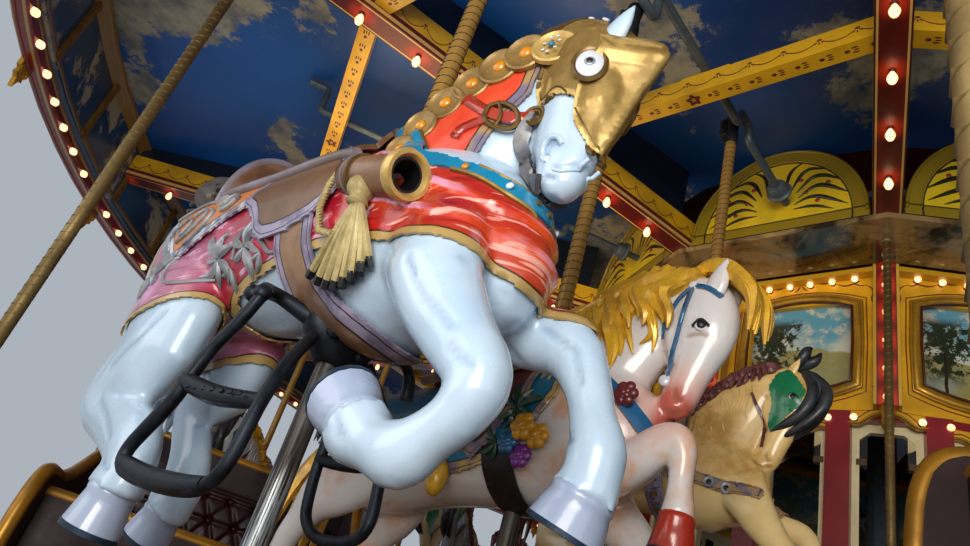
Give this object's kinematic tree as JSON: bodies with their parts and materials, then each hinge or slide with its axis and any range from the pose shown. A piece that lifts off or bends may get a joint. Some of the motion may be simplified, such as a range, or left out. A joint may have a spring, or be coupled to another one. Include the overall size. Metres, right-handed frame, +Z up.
{
  "type": "fairground carousel",
  "caption": "three-row fairground carousel: a deck hung from turning overhead sweeps, carved horses rising on crank driven poles, chariots, painted drum and canopy rim",
  "frame": {"origin": "on the ground, on the axis that the machine turns about", "axes": "+Z up along the mast, +X through a sweep, horses travel anticlockwise seen from above"},
  "size_m": [11.5, 11.5, 5.26],
  "materials": {
    "cast_iron": "black blue painted cast iron, worn on its edges",
    "mast_steel": "plain turned steel",
    "deck_boards": "varnished boards, worn where people walk",
    "joist_wood": "plain timber",
    "skirt_paint": "red gloss paint with gold lines",
    "rod_brass": "spiral wrapped brass, darkened in the grooves",
    "sweep_paint": "red gloss undersides, yellow sides with maroon swags",
    "crank_steel": "grey painted steel, greasy at the bearings",
    "ceiling_paint": "deep blue sky with ragged cream clouds",
    "lunette_paint": "bright yellow field, olive gold band, painted leaves",
    "soffit_paint": "dark varnished painted cloud panels",
    "drum_paint": "yellow gloss paint with maroon scrolls",
    "picture_paint": null,
    "post_paint": "red gloss paint with gold edges",
    "housing_paint": "cream paint",
    "pillar_paint": "cream and maroon striped paint",
    "rail_paint": "maroon paint with gold lines",
    "board_paint": "cream paint with gold mouldings",
    "cove_paint": "gold ribs and cloud panels",
    "crown_gold": "gilded carved wood",
    "roof_boards": "red and cream painted board segments",
    "horse_white": "white enamel with blue grey shading in the carving",
    "horse_gold": "peach white enamel, golden mane",
    "horse_tan": "golden tan enamel",
    "pole_brass": "spiral brass sleeve above, worn steel below",
    "chariot_paint": "gilded carved sides, maroon inside",
    "seat_leather": "maroon button tufted leather"
  },
  "bodies": {
    "foundation": {"base_frame": "cast_iron", "centre_mast": "mast_steel"},
    "turntable": {"deck": "deck_boards", "deck_joists": "joist_wood", "deck_skirt": "skirt_paint", "outer_drop_rods": "rod_brass", "inner_drop_rods": "rod_brass", "sweeps_and_beams": "sweep_paint", "crank_shafts": "crank_steel", "ceiling": "ceiling_paint", "lunette_boards": "lunette_paint", "soffit": "soffit_paint", "drum_frames": "drum_paint", "picture_panels": "picture_paint", "drum_posts": "post_paint", "housing_wall": "housing_paint", "housing_pillars": "pillar_paint", "rim_bulb_rail": "rail_paint", "rounding_boards": "board_paint", "rim_cove": "cove_paint", "rim_crown": "crown_gold", "roof": "roof_boards", "roof_cap": "crown_gold", "chariot_1": "chariot_paint", "chariot_1_seat": "seat_leather", "chariot_2": "chariot_paint", "chariot_2_seat": "seat_leather", "chariot_3": "chariot_paint", "chariot_3_seat": "seat_leather", "chariot_4": "chariot_paint", "chariot_4_seat": "seat_leather"},
    "outer_horse_1": {"outer_horse_1": "horse_white", "outer_horse_1_pole": "pole_brass", "outer_horse_1_foot_rest": "cast_iron"},
    "middle_horse_1": {"middle_horse_1": "horse_gold"},
    "inner_horse_1": {"inner_horse_1": "horse_tan"},
    "outer_horse_3": {"outer_horse_3": "horse_white"},
    "middle_horse_3": {"middle_horse_3": "horse_gold"},
    "inner_horse_3": {"inner_horse_3": "horse_tan"},
    "outer_horse_4": {"outer_horse_4": "horse_white"},
    "middle_horse_4": {"middle_horse_4": "horse_gold"},
    "inner_horse_4": {"inner_horse_4": "horse_tan"},
    "outer_horse_5": {"outer_horse_5": "horse_white"},
    "middle_horse_5": {"middle_horse_5": "horse_gold"},
    "inner_horse_5": {"inner_horse_5": "horse_tan"},
    "outer_horse_7": {"outer_horse_7": "horse_white"},
    "middle_horse_7": {"middle_horse_7": "horse_gold"},
    "inner_horse_7": {"inner_horse_7": "horse_tan"},
    "outer_horse_9": {"outer_horse_9": "horse_white"},
    "middle_horse_9": {"middle_horse_9": "horse_gold"},
    "inner_horse_9": {"inner_horse_9": "horse_tan"},
    "outer_horse_10": {"outer_horse_10": "horse_white"},
    "middle_horse_10": {"middle_horse_10": "horse_gold"},
    "inner_horse_10": {"inner_horse_10": "horse_tan"},
    "outer_horse_11": {"outer_horse_11": "horse_white"},
    "middle_horse_11": {"middle_horse_11": "horse_gold"},
    "inner_horse_11": {"inner_horse_11": "horse_tan"}
  },
  "joints": [
    {"name": "turntable_spin", "type": "hinge", "parent": "foundation", "child": "turntable", "pos_m": [0, 0, 0], "axis": [0, 0, 1], "continuous": true},
    {"name": "outer_horse_1_slide", "type": "slide", "parent": "turntable", "child": "outer_horse_1", "axis": [0, 0, 1], "range_m": [-0.165, 0]},
    {"name": "middle_horse_1_slide", "type": "slide", "parent": "turntable", "child": "middle_horse_1", "axis": [0, 0, 1], "range_m": [0, 0.33]},
    {"name": "inner_horse_1_slide", "type": "slide", "parent": "turntable", "child": "inner_horse_1", "axis": [0, 0, 1], "range_m": [-0.165, 0]},
    {"name": "outer_horse_3_slide", "type": "slide", "parent": "turntable", "child": "outer_horse_3", "axis": [0, 0, 1], "range_m": [-0.165, 0]},
    {"name": "middle_horse_3_slide", "type": "slide", "parent": "turntable", "child": "middle_horse_3", "axis": [0, 0, 1], "range_m": [-0.165, 0]},
    {"name": "inner_horse_3_slide", "type": "slide", "parent": "turntable", "child": "inner_horse_3", "axis": [0, 0, 1], "range_m": [0, 0.33]},
    {"name": "outer_horse_4_slide", "type": "slide", "parent": "turntable", "child": "outer_horse_4", "axis": [0, 0, 1], "range_m": [0, 0.165]},
    {"name": "middle_horse_4_slide", "type": "slide", "parent": "turntable", "child": "middle_horse_4", "axis": [0, 0, 1], "range_m": [-0.33, 0]},
    {"name": "inner_horse_4_slide", "type": "slide", "parent": "turntable", "child": "inner_horse_4", "axis": [0, 0, 1], "range_m": [0, 0.165]},
    {"name": "outer_horse_5_slide", "type": "slide", "parent": "turntable", "child": "outer_horse_5", "axis": [0, 0, 1], "range_m": [0, 0.33]},
    {"name": "middle_horse_5_slide", "type": "slide", "parent": "turntable", "child": "middle_horse_5", "axis": [0, 0, 1], "range_m": [-0.165, 0]},
    {"name": "inner_horse_5_slide", "type": "slide", "parent": "turntable", "child": "inner_horse_5", "axis": [0, 0, 1], "range_m": [-0.165, 0]},
    {"name": "outer_horse_7_slide", "type": "slide", "parent": "turntable", "child": "outer_horse_7", "axis": [0, 0, 1], "range_m": [-0.165, 0]},
    {"name": "middle_horse_7_slide", "type": "slide", "parent": "turntable", "child": "middle_horse_7", "axis": [0, 0, 1], "range_m": [0, 0.33]},
    {"name": "inner_horse_7_slide", "type": "slide", "parent": "turntable", "child": "inner_horse_7", "axis": [0, 0, 1], "range_m": [-0.165, 0]},
    {"name": "outer_horse_9_slide", "type": "slide", "parent": "turntable", "child": "outer_horse_9", "axis": [0, 0, 1], "range_m": [-0.165, 0]},
    {"name": "middle_horse_9_slide", "type": "slide", "parent": "turntable", "child": "middle_horse_9", "axis": [0, 0, 1], "range_m": [-0.165, 0]},
    {"name": "inner_horse_9_slide", "type": "slide", "parent": "turntable", "child": "inner_horse_9", "axis": [0, 0, 1], "range_m": [0, 0.33]},
    {"name": "outer_horse_10_slide", "type": "slide", "parent": "turntable", "child": "outer_horse_10", "axis": [0, 0, 1], "range_m": [0, 0.165]},
    {"name": "middle_horse_10_slide", "type": "slide", "parent": "turntable", "child": "middle_horse_10", "axis": [0, 0, 1], "range_m": [-0.33, 0]},
    {"name": "inner_horse_10_slide", "type": "slide", "parent": "turntable", "child": "inner_horse_10", "axis": [0, 0, 1], "range_m": [0, 0.165]},
    {"name": "outer_horse_11_slide", "type": "slide", "parent": "turntable", "child": "outer_horse_11", "axis": [0, 0, 1], "range_m": [0, 0.33]},
    {"name": "middle_horse_11_slide", "type": "slide", "parent": "turntable", "child": "middle_horse_11", "axis": [0, 0, 1], "range_m": [-0.165, 0]},
    {"name": "inner_horse_11_slide", "type": "slide", "parent": "turntable", "child": "inner_horse_11", "axis": [0, 0, 1], "range_m": [-0.165, 0]}
  ],
  "couplings": [
    {"joint": "outer_horse_1_slide", "follows": "middle_horse_1_slide", "ratio": -0.5},
    {"joint": "inner_horse_1_slide", "follows": "middle_horse_1_slide", "ratio": -0.5},
    {"joint": "outer_horse_3_slide", "follows": "middle_horse_1_slide", "ratio": -0.5},
    {"joint": "middle_horse_3_slide", "follows": "middle_horse_1_slide", "ratio": -0.5},
    {"joint": "inner_horse_3_slide", "follows": "middle_horse_1_slide", "ratio": 1},
    {"joint": "outer_horse_4_slide", "follows": "middle_horse_1_slide", "ratio": 0.5},
    {"joint": "middle_horse_4_slide", "follows": "middle_horse_1_slide", "ratio": -1},
    {"joint": "inner_horse_4_slide", "follows": "middle_horse_1_slide", "ratio": 0.5},
    {"joint": "outer_horse_5_slide", "follows": "middle_horse_1_slide", "ratio": 1},
    {"joint": "middle_horse_5_slide", "follows": "middle_horse_1_slide", "ratio": -0.5},
    {"joint": "inner_horse_5_slide", "follows": "middle_horse_1_slide", "ratio": -0.5},
    {"joint": "outer_horse_7_slide", "follows": "middle_horse_1_slide", "ratio": -0.5},
    {"joint": "middle_horse_7_slide", "follows": "middle_horse_1_slide", "ratio": 1},
    {"joint": "inner_horse_7_slide", "follows": "middle_horse_1_slide", "ratio": -0.5},
    {"joint": "outer_horse_9_slide", "follows": "middle_horse_1_slide", "ratio": -0.5},
    {"joint": "middle_horse_9_slide", "follows": "middle_horse_1_slide", "ratio": -0.5},
    {"joint": "inner_horse_9_slide", "follows": "middle_horse_1_slide", "ratio": 1},
    {"joint": "outer_horse_10_slide", "follows": "middle_horse_1_slide", "ratio": 0.5},
    {"joint": "middle_horse_10_slide", "follows": "middle_horse_1_slide", "ratio": -1},
    {"joint": "inner_horse_10_slide", "follows": "middle_horse_1_slide", "ratio": 0.5},
    {"joint": "outer_horse_11_slide", "follows": "middle_horse_1_slide", "ratio": 1},
    {"joint": "middle_horse_11_slide", "follows": "middle_horse_1_slide", "ratio": -0.5},
    {"joint": "inner_horse_11_slide", "follows": "middle_horse_1_slide", "ratio": -0.5}
  ]
}
